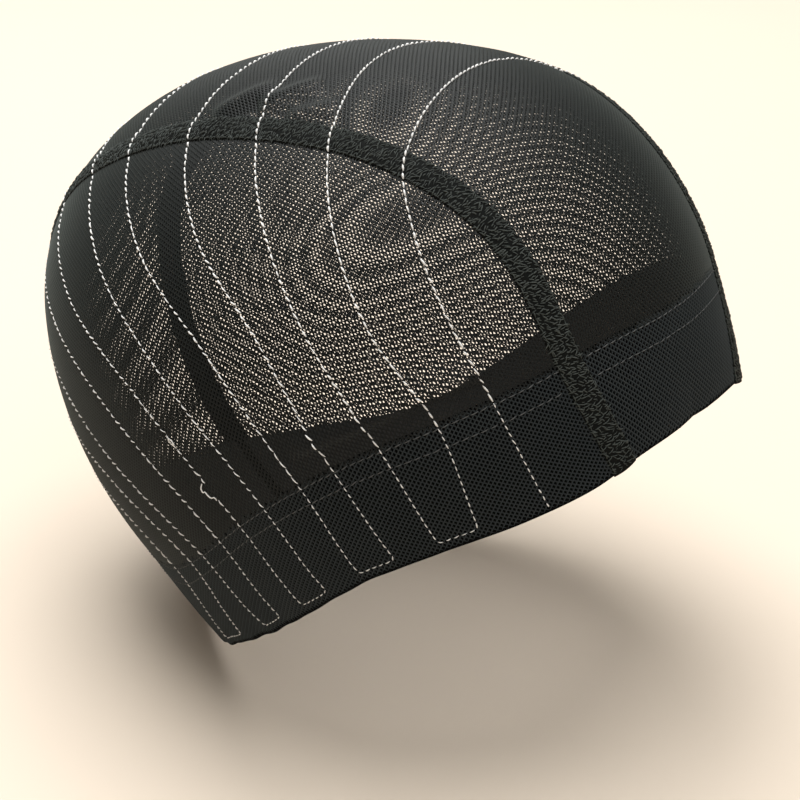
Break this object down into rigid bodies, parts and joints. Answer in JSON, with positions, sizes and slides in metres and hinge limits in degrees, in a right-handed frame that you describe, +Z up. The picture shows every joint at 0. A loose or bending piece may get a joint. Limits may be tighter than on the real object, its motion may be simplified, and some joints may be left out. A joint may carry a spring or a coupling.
{
  "type": "mesh dome wig cap",
  "caption": "Stretch-net dome cap for wig making, a centre panel between side panels with flat seams and a doubled hem, in its worn shape and open below for a head.",
  "frame": {"origin": "inside of the crown's top, where the top of the head meets the cloth", "axes": "+Z up with the wearer upright, -Y towards the brow, +X to the wearer's left"},
  "size_m": [0.152, 0.1972, 0.1642],
  "materials": {
    "net": "open black stretch net of fine nylon yarn, see-through when pulled over the head",
    "hem": "the same net doubled, nearly opaque, dull black",
    "seam_thread": "raised bed of looped black sewing thread",
    "guide_thread": "white sewing thread in short slanting stitches",
    "hem_thread": "fine dark grey sewing thread"
  },
  "bodies": {
    "root": {"centre_panel": "net", "left_panel": "net", "right_panel": "net", "front_hem": "hem", "nape_hem": "hem", "left_hem": "hem", "right_hem": "hem", "left_seam": "seam_thread", "right_seam": "seam_thread"}
  },
  "joints": []
}
